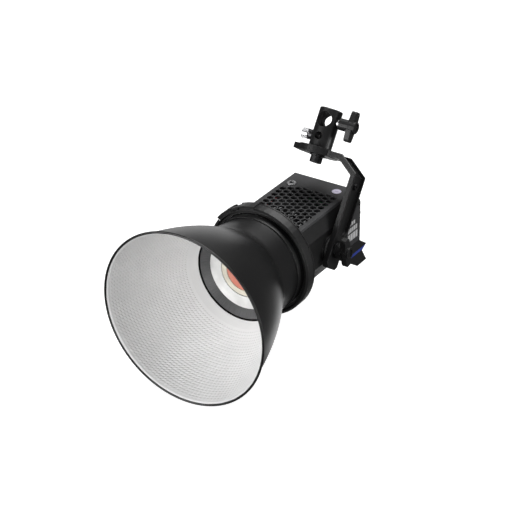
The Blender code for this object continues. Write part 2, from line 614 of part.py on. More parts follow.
def make_mount_ring(optics):
    """Round front casting: the latch's raised pad outside, the bayonet's pocket inside, a flange at the back."""
    profile = [(0, RING_R), (-1.3, RING_R), (-1.3, RING_R - 0.6), (-2.1, RING_R - 0.6), (-2.1, RING_R),
               (-RING_DEPTH + 2.0, RING_R), (-RING_DEPTH, RING_R - 1.6), (-RING_DEPTH, 55.9), (-11.2, 55.3),
               (-11.2, RING_BORE), (-8.6, RING_BORE), (-8.6, POCKET_R), (-2.3, POCKET_R), (-2.3, 43.0),
               (0, 43.0)]
    ring = turned("mount_ring", "black_plastic", optics, profile, 60)
    fuse(ring, flat("latch_pad", None, optics, sector(56.8, RING_R + 2.0, 118.5, 48.0, 8),
                    -RING_DEPTH + 0.8, -2.7))
    notch = box("latch_notch", None, optics, (-5.8, -20, RING_R - 1.6), (5.8, -2.8, RING_R + 8))
    slot = box("latch_slot", None, optics, (-2.9, -9.7, 50), (2.9, -0.8, RING_R + 8))
    for piece in (notch, slot):
        piece.rotation_euler = LATCH_TURN
    dot = rod("dot_seat", None, optics, 1.1, polar(57.0, DOT_DEG, -16), polar(57.0, DOT_DEG, -12.6), 16)
    cut(ring, notch, slot, dot)
    for angle in SCREW_DEGS:
        cut(ring, rod("ring_screw_hole", None, optics, 1.1, polar(54.4, angle, -10.6),
                      polar(54.4, angle, -8), 12))
    rod("alignment_dot", "white", optics, 0.8, polar(57.0, DOT_DEG, -RING_DEPTH - 0.15),
        polar(57.0, DOT_DEG, -12.9), 16)


def make_bayonet_plate(optics):
    plate = turned("bayonet_plate", "bare_metal", optics,
                   [(-6.2, 50.9), (-6.2, 55.6), (-8.3, 55.6), (-8.3, 50.9)], 60)
    for lug in LUGS:
        cut(plate, flat("lug_entry", None, optics, sector(48, LUG_R + 0.4, lug + TWIST_DEG, TWIST_DEG), -10,
                        -4))
    path = box("latch_path", None, optics, (-2.9, -10, 50), (2.9, -4, 60))
    path.rotation_euler = LATCH_TURN
    cut(plate, path)
    for i, angle in enumerate(SCREW_DEGS):
        cut(plate, rod("plate_screw_hole", None, optics, 1.1, polar(54.4, angle, -10),
                       polar(54.4, angle, -4), 12))
        screw = rod(f"bayonet_screw_{i + 1}", "bare_metal", optics, 0.8, polar(54.4, angle, -10.2),
                    polar(54.4, angle, -5.4), 10)
        fuse(screw, rod("screw_head", None, optics, 1.35, polar(54.4, angle, -5.9),
                        polar(54.4, angle, -4.9), 14))


def make_latch(optics):
    """Release slider in the ring's pad, and the lock pin that its stem carries."""
    slider = box("release_slider", "black_plastic", optics, (-5.0, -13.2, RING_R - 1.2),
                 (5.0, -7.2, RING_R + 1.2))
    stem = box("slider_stem", None, optics, (-2.4, -8.5, 50.8), (2.4, -5.3, RING_R - 0.6))
    for piece in (slider, stem):
        piece.rotation_euler = LATCH_TURN
    fuse(slider, stem)
    cut(slider, rod("pin_seat", None, optics, 1.4, polar(PIN_R, LATCH_DEG, -12), polar(PIN_R, LATCH_DEG, 0),
                    14))
    rod("lock_pin", "bare_metal", optics, 1.1, polar(PIN_R, LATCH_DEG, -9.4), polar(PIN_R, LATCH_DEG, -5.2),
        14)


def make_front_bulkhead(optics):
    edge = clipped(offset_path(SECTION, -WALL - GAP), TOP_Z - WALL - GAP, LOW_Z + WALL + GAP)
    plate = flat("front_bulkhead", "dark_grey", optics, mirrored(edge), GAP, 2.8)
    cut(plate, rod("column_hole", None, optics, 23.5, (0, -5, 0), (0, 8, 0), 40))
    for x in WIRE_X:
        cut(plate, rod("wire_hole", None, optics, 1.1, (x, -5, WIRE_Z), (x, 8, WIRE_Z), 12))


# ---------------------------------------------------------------- light engine and inside parts

def make_light_engine(optics):
    nose = [(-2.6, 48.6), (-44.6, 48.6), (-45.0, 48.0), (-38.2, 39.6), (-36.6, 39.6), (-36.6, 42.0),
            (-37.2, 44.0),
            (-37.2, 46.6), (-2.6, 46.6)]
    turned("nose_cone", "dark_grey", optics, nose, 48)
    turned("retaining_ring", "white", optics, [(-38.6, 39.2), (-40.4, 39.2), (-41.2, 25.6), (-38.6, 25.6)],
           40)
    turned("led_holder", "cream", optics, [(-38.6, 24.7), (-41.0, 24.7), (-41.0, 19.2), (-38.6, 19.2)], 32)
    rod("led_emitter", "phosphor", optics, 18.7, (0, -40.6, 0), (0, -38.6, 0), 32)
    box("led_substrate", "bare_metal", optics, (-26.5, -38.3, -26.5), (26.5, -36.3, 26.5))
    rod("heat_column", "copper", optics, 23.0, (0, -36.0, 0), (0, 3.3, 0), 32)


def make_heatsink(optics):
    """Finned block behind the bulkhead. Its outline is a comb in X and Y."""
    fins, pitch, thick, base, back = 12, 5.2, 1.3, 9.0, 52.0
    outline = [(-32.0, 3.6), (32.0, 3.6), (32.0, base)]
    for i in reversed(range(fins)):
        low = (i - (fins - 1) / 2) * pitch - thick / 2
        outline += [(low + thick, base), (low + thick, back), (low, back), (low, base)]
    outline.append((-32.0, base))
    flat("heatsink", "bare_metal", optics, outline, -29.5, 29.5, "Z")


def make_fan(optics):
    frame = box("fan_frame", "black_plastic", optics, (-30, 53.0, -30), (30, 66.0, 30))
    cut(frame, rod("fan_bore", None, optics, 28.6, (0, 50, 0), (0, 62.5, 0), 40))
    for i in range(3):
        cut(frame, flat("fan_exhaust", None, optics, sector(12.5, 28.0, 120 * i + 30, 104, 8), 60, 70))
    hub_y = 54.2
    rotor = rod("fan_rotor", "black_plastic", optics, 11.0, (0, hub_y, 0), (0, 62.0, 0), 28,
                origin=(0, hub_y, 0))
    for i in range(7):
        place = Matrix.Rotation(2 * math.pi * i / 7, 4, "Y") @ Matrix.Translation((0, 58.2, 18.6)) \
            @ Matrix.Rotation(math.radians(38), 4, "Z")
        bm = bmesh.new()
        bmesh.ops.create_cube(bm, size=1.0, matrix=place @ Matrix.Diagonal((11.0, 0.9, 17.8, 1.0)))
        fuse(rotor, add("fan_blade", bm, None, optics))


def make_boards(optics):
    """Driver board with its transformer, inductor and capacitors, the control board, and the LED's two leads."""
    top = -26.4
    board = box("driver_board", "board", optics, (-31, 71.0, top - 1.6), (31, 107.0, top))
    fuse(board, box("transformer", None, optics, (-26, 76, top - 0.8), (-8, 94, top + 15)),
         box("inductor", None, optics, (12, 78, top - 0.8), (27, 90, top + 10)))
    for x, y, radius, height in ((2, 80, 5, 17), (2, 94, 5, 17), (18, 98, 4, 12)):
        fuse(board, rod("capacitor", None, optics, radius, (x, y, top - 0.8), (x, y, top + height), 16))
    box("control_board", "board", optics, (-34, 106.0, -17.0), (35, 107.6, 16.2))
    for name, x in zip(("led_lead_positive", "led_lead_negative"), WIRE_X):
        route = [(x + 10, 72, -12), (x + 7, 70.4, 6), (x + 4, 69.4, 22), (x + 2, 67.6, 30.2),
                 (x + 1, 62, WIRE_Z),
                 (x, 45, WIRE_Z), (x, 20, WIRE_Z), (x, 8, WIRE_Z), (x, -3, WIRE_Z), (x + 2, -20, 27),
                 (x + 4, -35.4, 21)]
        lead(name, route, 0.8, optics)


def lead(name, route, radius, parent):
    """Insulated lead along a smooth curve through the route's points."""
    ends = [route[0], *route, route[-1]]
    points = []
    for a, b, c, d in zip(ends, ends[1:], ends[2:], ends[3:]):
        for t in (0.0, 0.33, 0.67):
            points.append([0.5 * (2 * q + (r - p) * t + (2 * p - 5 * q + 4 * r - s) * t * t
                                  + (3 * q - p - 3 * r + s) * t ** 3) for p, q, r, s in zip(a, b, c, d)])
    points.append(route[-1])
    curve = bpy.data.curves.new(name, "CURVE")
    curve.dimensions = "3D"
    curve.bevel_depth = radius * MM
    curve.bevel_resolution = 1
    curve.use_fill_caps = True
    curve.materials.append(material("black_plastic"))
    spline = curve.splines.new("POLY")
    spline.points.add(len(points) - 1)
    for target, point in zip(spline.points, points):
        target.co = (*(c * MM for c in point), 1.0)
    obj = bpy.data.objects.new(name, curve)
    obj.parent = parent
    PARTS.objects.link(obj)


# ---------------------------------------------------------------- reflector

def bowl_profile():
    """Closed profile of the spun sheet as (along, radius): neck, flare and rim bead outside, then back inside."""
    flare = bezier((THROAT_Y, THROAT_R), (-80.0, 72.0), (-110.0, 83.0), (RIM_Y + 2.6, 90.2), 6)
    bead = [(RIM_Y + 2.2, RIM_R), (RIM_Y + 0.5, RIM_R), (RIM_Y, RIM_R - 0.7), (RIM_Y, 89.4)]
    inner = [(y, r - SHEET) for y, r in flare[:0:-1]]
    return [(-19.2, 51.1), (-20.8, 51.1), (-50.5, 54.0), *flare, *bead, *inner, (-50.0, 52.3),
            (-45.8, 50.0),
            (-19.2, 49.6)]


def make_reflector(optics):
    """Spun bowl and the bayonet collar pressed on its neck. The lugs hold it behind the bayonet plate."""
    turned("reflector_bowl", "bowl_paint", optics, bowl_profile(), 56)
    profile = [(-2.6, BARREL_R), (-8.9, BARREL_R), (-8.9, COLLAR_R), (-19.6, COLLAR_R), (-20.4, 51.7),
               (-20.4, 51.4),
               (-18.9, 51.4), (-18.9, 49.0), (-2.6, 49.0)]
    collar = turned("bayonet_collar", "black_metal", optics, profile, 60)
    for angle in LUGS:
        fuse(collar, flat("lug", None, optics, sector(49.6, LUG_R, angle, LUG_DEG), -5.9, -3.2))
    cut(collar, flat("pin_notch", None, optics, sector(BARREL_R - 0.4, 53.4, LATCH_DEG - 1.9, 7.4), -10.2,
                     -8.0))


# ---------------------------------------------------------------- build

LATCH_TURN = Euler((0, -math.radians(LATCH_DEG - 90), 0))
WIRE_X = (-27.0, -22.5)
WIRE_Z = 31.2

clear_scene()
PARTS = new_collection("monolight_strobe")
CUTTERS = new_collection("cutters")


def main():
    lean = math.radians(TILT_DEG)
    pivot = (0, -SOCKET_MOUTH * math.sin(lean), -SOCKET_MOUTH * math.cos(lean))
    yoke = empty("yoke_frame", pivot, (-lean, 0, 0))
    head = empty("head_frame", pivot)
    optics = empty("optics_frame", (0, -PIVOT_BACK, 0), parent=head)
    make_yoke_arm(yoke)
    make_arm_screw(yoke)
    make_socket(yoke)
    make_socket_bolt(yoke)
    make_spigot_clamp(yoke)
    make_umbrella_clamp(yoke)
    make_tilt_clamp(optics)
    make_side_shell("side_shell_right", 1, optics)
    make_side_shell("side_shell_left", -1, optics)
    make_top_cover(optics)
    make_bottom_cover(optics)
    make_control_housing(optics)
    make_rear_controls(optics)
    make_mount_ring(optics)
    make_bayonet_plate(optics)
    make_latch(optics)
    make_front_bulkhead(optics)
    make_light_engine(optics)
    make_heatsink(optics)
    make_fan(optics)
    make_boards(optics)
    make_reflector(optics)


main()
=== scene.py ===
"""Looks for the monolight strobe: finishes for every part, the faceted reflector, studio light and camera.

Sizes are in millimetres from H, the point on the optical axis at the mount ring's back face, unless they say
otherwise. X is the side of the yoke's arm, the light shines along -Y, and Z is up.
"""

import math

import bmesh
import bpy
from mathutils import Matrix, Vector


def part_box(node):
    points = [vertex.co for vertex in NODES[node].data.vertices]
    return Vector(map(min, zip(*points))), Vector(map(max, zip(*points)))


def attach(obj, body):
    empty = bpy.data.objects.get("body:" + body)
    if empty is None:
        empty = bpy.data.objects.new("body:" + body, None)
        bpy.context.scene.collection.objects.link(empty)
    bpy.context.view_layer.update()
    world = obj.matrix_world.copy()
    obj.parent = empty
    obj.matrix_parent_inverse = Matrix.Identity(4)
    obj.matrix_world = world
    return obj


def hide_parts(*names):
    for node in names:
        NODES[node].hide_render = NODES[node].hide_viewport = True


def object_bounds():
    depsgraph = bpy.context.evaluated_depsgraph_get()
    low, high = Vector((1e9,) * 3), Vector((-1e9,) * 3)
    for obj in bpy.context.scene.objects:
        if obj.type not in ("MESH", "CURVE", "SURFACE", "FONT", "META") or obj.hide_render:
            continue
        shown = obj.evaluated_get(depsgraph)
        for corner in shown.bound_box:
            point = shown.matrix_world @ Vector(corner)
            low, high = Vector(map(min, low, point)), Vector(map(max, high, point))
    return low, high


MM = 0.001
BOWL_FACETS = 126         # pressed facets round the reflector
BOWL_ROWS = 26            # and along it
RIM_R = 92.5
RIM_Y = -146.2
BEAD_R = 1.25             # rolled rim
THROAT = (-53.9, 55.7)    # along the axis, radius
NECK = (-20.8, 51.1)      # likewise
BOWL_BACK = -19.2
SHEET = 1.5
FACET_DEPTH = 0.62
PATH_STEPS = 400          # steps along the inside, rim to throat
FACETS_FROM = 8           # the first and last of them that carry facets
FACETS_TO = 384

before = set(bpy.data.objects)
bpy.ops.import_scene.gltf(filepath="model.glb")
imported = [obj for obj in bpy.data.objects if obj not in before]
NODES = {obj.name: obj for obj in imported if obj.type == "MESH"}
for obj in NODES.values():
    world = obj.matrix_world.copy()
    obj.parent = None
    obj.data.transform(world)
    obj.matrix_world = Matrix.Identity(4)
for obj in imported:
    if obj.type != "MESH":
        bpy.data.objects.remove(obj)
cad_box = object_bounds()
ring_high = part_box("mount_ring")[1]
bowl_low, bowl_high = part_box("reflector_bowl")
H = Vector(((bowl_low[0] + bowl_high[0]) / 2, ring_high[1], (bowl_low[2] + bowl_high[2]) / 2))


def at(x, y, z):
    """A point of the lamp head's frame, in metres in the scene."""
    return H + Vector((x, y, z)) * MM


# ---------------------------------------------------------------- node helpers

class Tree:
    """A material's node tree, with short calls for the nodes used here."""

    def __init__(self, name):
        self.material = bpy.data.materials.new(name)
        self.material.use_nodes = True
        self.nodes = self.material.node_tree.nodes
        self.links = self.material.node_tree.links
        self.shader = self.nodes["Principled BSDF"]
        coords = self.nodes.new("ShaderNodeTexCoord")
        self.place = coords.outputs["Object"]

    def feed(self, value, socket):
        """Links an output to a socket, or sets the socket to a plain value."""
        if isinstance(value, bpy.types.NodeSocket):
            self.links.new(value, socket)
        else:
            socket.default_value = value

    def math(self, operation, a, b=0.0):
        node = self.nodes.new("ShaderNodeMath")
        node.operation = operation
        for value, socket in zip((a, b), node.inputs):
            self.feed(value, socket)
        return node.outputs[0]

    def noise(self, scale, detail=3.0, rough=0.55, vector=None):
        node = self.nodes.new("ShaderNodeTexNoise")
        node.inputs["Scale"].default_value = scale
        node.inputs["Detail"].default_value = detail
        node.inputs["Roughness"].default_value = rough
        self.links.new(vector or self.place, node.inputs["Vector"])
        return node.outputs["Fac"]

    def ranged(self, value, low, high, out_low, out_high):
        node = self.nodes.new("ShaderNodeMapRange")
        for number, name in ((low, "From Min"), (high, "From Max"),
                             (out_low, "To Min"), (out_high, "To Max")):
            node.inputs[name].default_value = number
        self.links.new(value, node.inputs["Value"])
        return node.outputs["Result"]

    def vary(self, noise, out_low, out_high):
        """Noise, which stays mostly between 0.3 and 0.7, stretched over a range."""
        return self.ranged(noise, 0.3, 0.7, out_low, out_high)

    def length(self, a, b):
        """Length of a vector with these two components."""
        squares = self.math("ADD", self.math("MULTIPLY", a, a), self.math("MULTIPLY", b, b))
        return self.math("SQRT", squares)

    def within(self, value, low, high):
        """1 where value lies between low and high, else 0."""
        offset = self.math("ABSOLUTE", self.math("SUBTRACT", value, (low + high) / 2))
        return self.math("LESS_THAN", offset, (high - low) / 2)

    def mix(self, share, a, b):
        """A colour between a and b."""
        node = self.nodes.new("ShaderNodeMix")
        node.data_type = "RGBA"
        self.feed(share, node.inputs["Factor"])
        for value, index in ((a, 6), (b, 7)):
            colour = value if isinstance(value, bpy.types.NodeSocket) else (*value, 1.0)
            self.feed(colour, node.inputs[index])
        return node.outputs[2]

    def axes(self):
        """X, Y and Z of the surface point in millimetres from H."""
        split = self.nodes.new("ShaderNodeSeparateXYZ")
        self.links.new(self.place, split.inputs[0])
        return [self.math("MULTIPLY", self.math("SUBTRACT", split.outputs[i], H[i]), 1 / MM)
                for i in range(3)]

    def vector(self, x, y, z):
        node = self.nodes.new("ShaderNodeCombineXYZ")
        for value, socket in zip((x, y, z), node.inputs):
            self.feed(value, socket)
        return node.outputs[0]

    def edges(self, radius):
        """(normal with softened edges, how near an edge the point is)."""
        soft = self.nodes.new("ShaderNodeBevel")
        soft.samples = 4
        soft.inputs["Radius"].default_value = radius
        plain = self.nodes.new("ShaderNodeNewGeometry")
        dot = self.nodes.new("ShaderNodeVectorMath")
        dot.operation = "DOT_PRODUCT"
        self.links.new(soft.outputs[0], dot.inputs[0])
        self.links.new(plain.outputs["Normal"], dot.inputs[1])
        return soft.outputs[0], self.ranged(dot.outputs["Value"], 1.0, 0.85, 0.0, 1.0)

    def bump(self, height, strength, distance, normal=None):
        node = self.nodes.new("ShaderNodeBump")
        node.inputs["Strength"].default_value = strength
        node.inputs["Distance"].default_value = distance
        self.links.new(height, node.inputs["Height"])
        if normal is not None:
            self.links.new(normal, node.inputs["Normal"])
        return node.outputs[0]

    def finish(self, colour, roughness, normal=None, metallic=0.0, specular=0.5, coat=0.0):
        self.feed(colour, self.shader.inputs["Base Color"])
        self.feed(roughness, self.shader.inputs["Roughness"])
        self.shader.inputs["Metallic"].default_value = metallic
        self.shader.inputs["Specular IOR Level"].default_value = specular
        self.shader.inputs["Coat Weight"].default_value = coat
        self.shader.inputs["Coat Roughness"].default_value = 0.15
        if normal is not None:
            self.links.new(normal, self.shader.inputs["Normal"])
        return self.material


def scaled(colour, factor):
    return tuple(channel * factor for channel in colour)


# ---------------------------------------------------------------- finishes

def moulded(name, colour, rough, grain=2600.0, depth=0.00004, specular=0.5, wear=2.2, edge=0.00035):
    """Spark-textured moulded plastic or powder coat, a little lighter where its edges rub."""
    t = Tree(name)
    normal, near = t.edges(edge)
    cloud = t.noise(38.0, 4.0)
    fine = t.noise(grain, 2.0, 0.6)
    body = t.mix(t.vary(cloud, 0.0, 1.0), scaled(colour, 0.82), scaled(colour, 1.18))
    rub = t.math("MULTIPLY", near, t.ranged(t.noise(210.0, 4.0), 0.42, 0.62, 0.15, 1.0))
    shade = t.mix(t.math("MULTIPLY", rub, 0.7), body, scaled(colour, wear))
    roughness = t.math("ADD", t.vary(cloud, rough - 0.05, rough + 0.05),
                       t.vary(fine, -0.03, 0.03))
    return t.finish(shade, roughness, t.bump(fine, 0.35, depth, normal), 0.0, specular)


def metal(name, colour, rough, along, stretch=26.0, edge=0.0003):
    """Turned or drawn metal: fine lines round or along the axis, with small stains."""
    t = Tree(name)
    normal, near = t.edges(edge)
    x, y, z = t.axes()
    if along == "round":
        radius = t.length(x, z)
        turn = t.math("ARCTAN2", z, x)
        lines = t.noise(1.0, 3.0, 0.6, t.vector(t.math("MULTIPLY", radius, 9.0), y, turn))
    else:
        spread = [stretch if axis != along else 0.9 for axis in "XYZ"]
        lines = t.noise(1.0, 3.0, 0.6, t.vector(*(t.math("MULTIPLY", v, s * 0.35)
                                                 for v, s in zip((x, y, z), spread))))
    stain = t.noise(120.0, 3.0)
    shade = t.mix(t.vary(lines, 0.0, 1.0), scaled(colour, 0.86), colour)
    shade = t.mix(t.math("MULTIPLY", near, 0.4), shade, scaled(colour, 1.12))
    roughness = t.math("ADD", t.ranged(stain, 0.35, 0.65, rough - 0.05, rough + 0.07),
                       t.vary(lines, -0.04, 0.04))
    return t.finish(shade, roughness, t.bump(lines, 0.25, 0.00003, normal), 1.0)


def spun_paint(name, colour, rough, specular):
    """Satin enamel over a spun sheet, with the faint rings that spinning leaves."""
    t = Tree(name)
    _, y, _ = t.axes()
    rings = t.noise(1.0, 2.0, 0.5, t.vector(0.0, t.math("MULTIPLY", y, 2.6), 0.0))
    peel = t.noise(900.0, 2.0)
    cloud = t.noise(26.0, 4.0)
    shade = t.mix(t.vary(cloud, 0.0, 1.0), scaled(colour, 0.9), scaled(colour, 1.1))
    roughness = t.math("ADD", t.vary(rings, rough - 0.02, rough + 0.02),
                       t.vary(peel, -0.02, 0.02))
    height = t.math("ADD", rings, t.math("MULTIPLY", peel, 0.5))
    return t.finish(shade, roughness, t.bump(height, 0.12, 0.00006), 0.0, specular)


def white_enamel(name):
    """White stove enamel inside the bowl, with painted shade that greys the creases between the pressed
    facets.
    """
    t = Tree(name)
    x, y, z = t.axes()
    turn = t.math("MULTIPLY", t.math("ARCTAN2", z, x), BOWL_FACETS / math.tau)
    crease = t.math("ABSOLUTE", t.math("SUBTRACT", t.math("FRACT", t.math("ADD", turn, 500.0)), 0.5))
    crease_shade = t.ranged(crease, 0.36, 0.5, 0.0, 1.0)
    cloud = t.noise(30.0, 4.0)
    peel = t.noise(1400.0, 2.0)
    base = t.mix(t.vary(cloud, 0.0, 1.0), (0.76, 0.76, 0.76), (0.80, 0.80, 0.80))
    zone = t.math("MULTIPLY", t.ranged(y, -58.0, -64.0, 0.0, 1.0), t.ranged(y, -142.0, -139.0, 0.0, 1.0))
    # painted shade: the facet creases in the faceted zone are darkened towards grey (0.55, 0.55, 0.56)
    shade = t.mix(t.math("MULTIPLY", t.math("MULTIPLY", crease_shade, zone), 0.18), base, (0.55, 0.55, 0.56))
    roughness = t.vary(peel, 0.3, 0.4)
    return t.finish(shade, roughness, t.bump(peel, 0.15, 0.00003), 0.0, 0.5)


def radial_grey(name, colour):
    """Anodised throat, brushed round its axis."""
    t = Tree(name)
    x, _, z = t.axes()
    radius = t.length(x, z)
    turn = t.math("ARCTAN2", z, x)
    lines = t.noise(1.0, 4.0, 0.65, t.vector(t.math("MULTIPLY", turn, 60.0),
                                             t.math("MULTIPLY", radius, 0.12), 0.0))
    cloud = t.noise(60.0, 3.0)
    shade = t.mix(t.vary(lines, 0.0, 1.0), scaled(colour, 0.75), scaled(colour, 1.25))
    roughness = t.math("ADD", t.vary(lines, 0.34, 0.5), t.vary(cloud, -0.03, 0.03))
    return t.finish(shade, roughness, t.bump(lines, 0.3, 0.00005), 0.0, 0.45)


def printed(name, colour, ink, rough, marks, across, gloss=0.5):
    """A panel with plain printed bars: marks are (low, low, high, high) on the two axes named by across."""
    t = Tree(name)
    axes = dict(zip("XYZ", t.axes()))
    a, b = axes[across[0]], axes[across[1]]
    print_mask = None
    for a0, b0, a1, b1 in marks:
        inside = t.math("MULTIPLY", t.within(a, a0, a1), t.within(b, b0, b1))
        print_mask = inside if print_mask is None else t.math("MAXIMUM", print_mask, inside)
    cloud = t.noise(40.0, 4.0)
    fine = t.noise(2200.0, 2.0)
    worn = t.math("MULTIPLY", print_mask, t.ranged(t.noise(420.0, 3.0), 0.3, 0.45, 0.75, 1.0))
    base = t.mix(t.vary(cloud, 0.0, 1.0), scaled(colour, 0.88), scaled(colour, 1.12))
    shade = t.mix(worn, base, ink)
    normal, _ = t.edges(0.0003)
    height = t.math("ADD", t.math("MULTIPLY", fine, 0.6), print_mask)
    roughness = t.vary(fine, rough - 0.04, rough + 0.04)
    return t.finish(shade, roughness, t.bump(height, 0.3, 0.00003, normal), 0.0, gloss)


def sticker(name, centre):
    """Pale round label with a plain ring and a bar."""
    t = Tree(name)
    x, y, _ = t.axes()
    dx, dy = t.math("SUBTRACT", x, centre[0]), t.math("SUBTRACT", y, centre[1])
    radius = t.length(dx, dy)
    ring = t.math("LESS_THAN", t.math("ABSOLUTE", t.math("SUBTRACT", radius, 4.1)), 0.22)
    bar = t.math("MULTIPLY", t.math("LESS_THAN", t.math("ABSOLUTE", dy), 1.0),
                 t.math("LESS_THAN", t.math("ABSOLUTE", dx), 2.2))
    fibre = t.noise(1500.0, 3.0)
    paper = t.mix(t.vary(fibre, 0.0, 1.0), (0.70, 0.66, 0.80), (0.78, 0.75, 0.87))
    shade = t.mix(t.math("MULTIPLY", t.math("MAXIMUM", ring, bar), 0.6), paper, (0.42, 0.34, 0.62))
    return t.finish(shade, t.vary(fibre, 0.42, 0.55), t.bump(fibre, 0.2, 0.00003), 0.0, 0.4)


def phosphor(name):
    """Silicone phosphor over the chips, mottled, with the faint rows of the dies below."""
    t = Tree(name)
    x, _, z = t.axes()
    rows = t.math("MULTIPLY", t.math("SINE", t.math("MULTIPLY", x, 3.4)),
                  t.math("SINE", t.math("MULTIPLY", z, 3.4)))
    blot = t.noise(260.0, 4.0)
    shade = t.mix(t.ranged(rows, -1.0, 1.0, 0.0, 1.0), (0.52, 0.16, 0.12), (0.60, 0.21, 0.15))
    shade = t.mix(t.ranged(blot, 0.45, 0.75, 0.0, 0.5), shade, (0.62, 0.30, 0.22))
    return t.finish(shade, t.vary(blot, 0.28, 0.42), t.bump(blot, 0.2, 0.00005), 0.0, 0.5, 0.3)


def circuit(name):
    """Solder mask with tracks and pads."""
    t = Tree(name)
    x, _, _ = t.axes()
    lanes = t.math("ADD", t.math("MULTIPLY", x, 0.45), t.noise(90.0, 0.0))
    track = t.math("LESS_THAN", t.math("FRACT", lanes), 0.22)
    pads = t.nodes.new("ShaderNodeTexVoronoi")
    pads.inputs["Scale"].default_value = 260.0
    t.links.new(t.place, pads.inputs["Vector"])
    pad = t.math("LESS_THAN", pads.outputs["Distance"], 0.16)
    mask = t.mix(t.math("MULTIPLY", track, 0.6), (0.012, 0.09, 0.035), (0.03, 0.17, 0.07))
    shade = t.mix(pad, mask, (0.55, 0.48, 0.3))
    return t.finish(shade, t.vary(t.noise(400.0), 0.25, 0.4), t.bump(track, 0.3, 0.00004))


# ---------------------------------------------------------------- the reflector

def bezier(a, b, c, d, steps):
    """Points along a cubic curve, both ends included."""
    points = []
    for i in range(steps + 1):
        s = i / steps
        weights = ((1 - s) ** 3, 3 * s * (1 - s) ** 2, 3 * s * s * (1 - s), s ** 3)
        points.append(tuple(sum(w * p[k] for w, p in zip(weights, (a, b, c, d))) for k in (0, 1)))
    return points


def evenly(path, count):
    """count + 1 points spaced evenly along a path."""
    lengths = [0.0]
    for p, q in zip(path, path[1:]):
        lengths.append(lengths[-1] + math.dist(p, q))
    points, i = [], 0
    for k in range(count + 1):
        goal = lengths[-1] * k / count
        while i < len(path) - 2 and lengths[i + 1] < goal:
            i += 1
        share = (goal - lengths[i]) / (lengths[i + 1] - lengths[i])
        points.append(tuple(a + (b - a) * share for a, b in zip(path[i], path[i + 1])))
    return points


def make_bowl(outside, inside):
    """Spun bowl: smooth outside, rolled rim, and rows of pressed facets inside."""
    flare = bezier(THROAT, (-80.0, 72.0), (-110.0, 83.0), (RIM_Y + 2.6, 90.2), 60)
    rim = (RIM_Y + BEAD_R, RIM_R - BEAD_R)
    bead = [(rim[0] + BEAD_R * math.cos(math.radians(a)), rim[1] + BEAD_R * math.sin(math.radians(a)))
            for a in range(30, 271, 24)]
    neck = [(BOWL_BACK, NECK[1]), NECK, *evenly([NECK, (-50.5, 54.0)], 6)[1:]]
    outer = [(y, r, 0.0) for y, r in [*neck, *flare[::2], *bead]]
    inner_path = [(y, r - SHEET) for y, r in flare[::-1]]
    lip = evenly(inner_path, PATH_STEPS)
    rows = evenly(lip[FACETS_FROM:FACETS_TO], BOWL_ROWS * 2)
    inner = [(y, r, 0.0) for y, r in lip[0:FACETS_FROM:4]]
    inner += [(y, r, FACET_DEPTH if k % 2 else 0.0) for k, (y, r) in enumerate(rows)]
    inner += [(y, r, 0.0) for y, r in lip[FACETS_TO + 4:PATH_STEPS:4]]
    inner += [(-50.0, 52.3, 0.0), (-45.8, 50.0, 0.0), (BOWL_BACK, 49.6, 0.0)]
    profile = outer + inner
    around = BOWL_FACETS * 2
    bm = bmesh.new()
    loops = []
    for y, r, press in profile:
        loop = []
        for k in range(around):
            angle = math.tau * k / around
            radius = r - (press if k % 2 else 0.0)
            loop.append(bm.verts.new(at(radius * math.cos(angle), y, radius * math.sin(angle))))
        loops.append(loop)
    for i, loop in enumerate(loops):
        following = loops[(i + 1) % len(loops)]
        white = len(outer) - 1 <= i < len(profile) - 2
        for k in range(around):
            n = (k + 1) % around
            face = bm.faces.new((loop[k], loop[n], following[n], following[k]))
            face.material_index = 1 if white else 0
            face.smooth = not white
    bmesh.ops.recalc_face_normals(bm, faces=bm.faces)
    mesh = bpy.data.meshes.new("spun_bowl")
    bm.to_mesh(mesh)
    bm.free()
    mesh.materials.append(outside)
    mesh.materials.append(inside)
    bowl = bpy.data.objects.new("spun_bowl", mesh)
    bpy.context.scene.collection.objects.link(bowl)
    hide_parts("reflector_bowl")
    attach(bowl, "reflector")


# ---------------------------------------------------------------- apply

BLACK = (0.005, 0.005, 0.0053)
LABEL = [(94.0, 3.0, 97.0, 7.2), (98.0, 3.0, 101.0, 7.2), (102.0, 3.0, 105.0, 7.2),
         (91.0, -4.6, 94.2, 0.6), (95.0, -4.6, 98.2, 0.6), (99.0, -4.6, 101.4, 0.6),
         (102.2, -4.6, 105.4, 0.6), (106.2, -4.6, 109.4, 0.6),
         (91.0, -14.6, 95.4, -6.6), (96.2, -14.6, 100.6, -6.6),
         (101.4, -14.6, 105.8, -6.6), (106.6, -14.6, 110.4, -6.6)]
READOUT = [(-29.0, 6.0, -21.0, 10.5), (-18.0, 6.0, -10.0, 10.5), (-29.0, -1.6, -4.0, -0.8),
           (-7.0, 6.0, -1.5, 7.6), (-7.0, 8.9, -1.5, 10.5)]

body_black = moulded("body_black", BLACK, 0.42)
casting_black = moulded("casting_black", BLACK, 0.36, 1900.0, 0.00005, 0.55, 3.0, 0.0004)
ring_black = moulded("ring_black", (0.008, 0.008, 0.0083), 0.38, 2400.0, 0.00003, 0.55, 2.0, 0.0005)
cover_grey = moulded("cover_grey", (0.035, 0.035, 0.037), 0.46, 2400.0, 0.00003, 0.5, 2.4, 0.0003)
lever_black = moulded("lever_black", BLACK, 0.48, 2000.0, 0.00006, 0.45, 2.6, 0.0005)
inner_black = moulded("inner_black", (0.006, 0.006, 0.006), 0.6, 1500.0, 0.00005, 0.3)
knob_rubber = moulded("knob_rubber", (0.011, 0.011, 0.011), 0.62, 1700.0, 0.00006, 0.35, 2.0, 0.0003)
button_grey = moulded("button_grey", (0.06, 0.06, 0.062), 0.5, 2000.0, 0.00004, 0.4, 1.6, 0.0004)
stripe_blue = moulded("stripe_blue", (0.03, 0.055, 0.33), 0.38, 2400.0, 0.00003, 0.5, 1.5, 0.0003)
